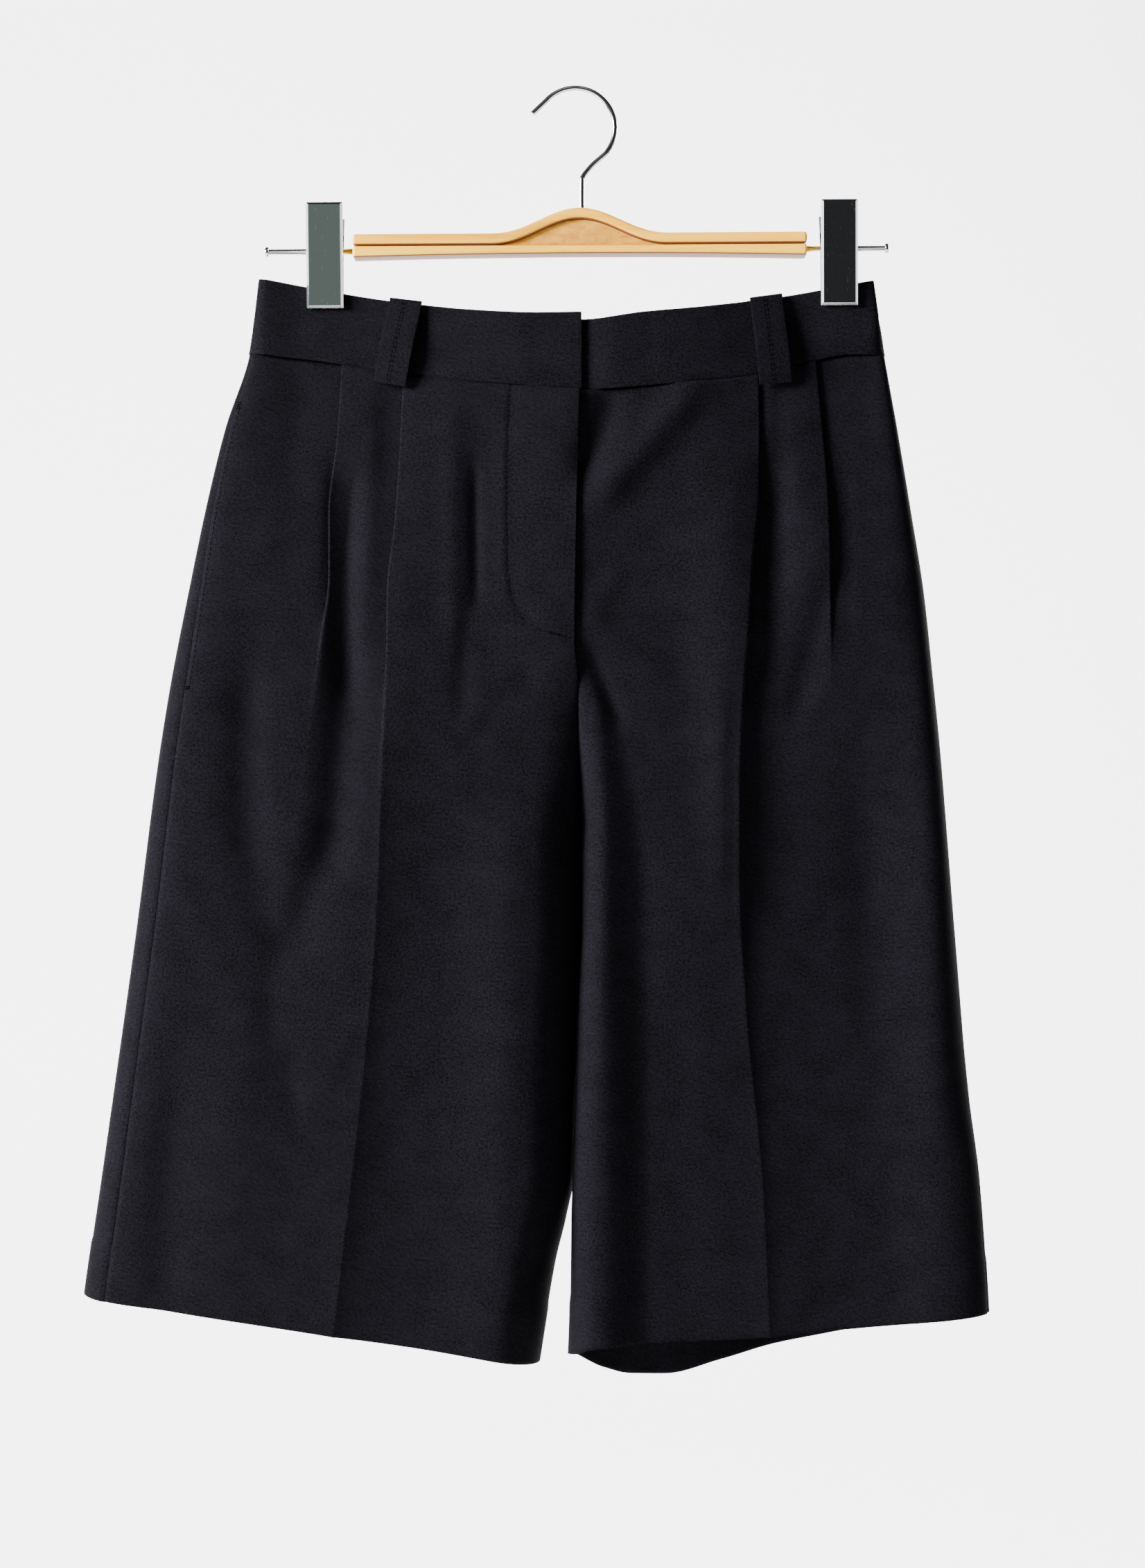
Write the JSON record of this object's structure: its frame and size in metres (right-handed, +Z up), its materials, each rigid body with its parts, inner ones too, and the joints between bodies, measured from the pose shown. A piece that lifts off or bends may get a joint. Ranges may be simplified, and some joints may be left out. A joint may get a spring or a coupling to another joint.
{
  "type": "bermuda shorts on a clip hanger",
  "caption": "Pleated bermuda shorts with belt loops and a fly front, hung by the waistband from a wooden hanger with metal clips and a wire hook.",
  "frame": {"origin": "inside the top of the wire hook, where it rests on a rail", "axes": "+Z up, +Y from the front of the shorts to their back, +X to the right of someone who looks at the front"},
  "size_m": [0.5326, 0.0741, 0.7678],
  "materials": {
    "cloth": "dark navy wool twill",
    "wood": "clear lacquered pale wood",
    "wood_insert": "clear lacquered wood, a shade darker",
    "chrome": "polished"
  },
  "bodies": {
    "root": {"front_panel_left": "cloth", "front_panel_right": "cloth", "back_panel_left": "cloth", "back_panel_right": "cloth", "waistband_front_left": "cloth", "waistband_front_right": "cloth", "waistband_back": "cloth", "belt_loop_front_left": "cloth", "belt_loop_front_right": "cloth", "belt_loop_back_left": "cloth", "belt_loop_back_centre": "cloth", "belt_loop_back_right": "cloth", "hanger_upper_strip": "wood", "hanger_lower_strip": "wood", "hanger_insert": "wood_insert", "rod_left": "chrome", "rod_right": "chrome", "clip_left_front_plate": "chrome", "clip_left_back_plate": "chrome", "clip_left_barrel": "chrome", "clip_right_front_plate": "chrome", "clip_right_back_plate": "chrome", "clip_right_barrel": "chrome", "hook": "chrome"}
  },
  "joints": []
}
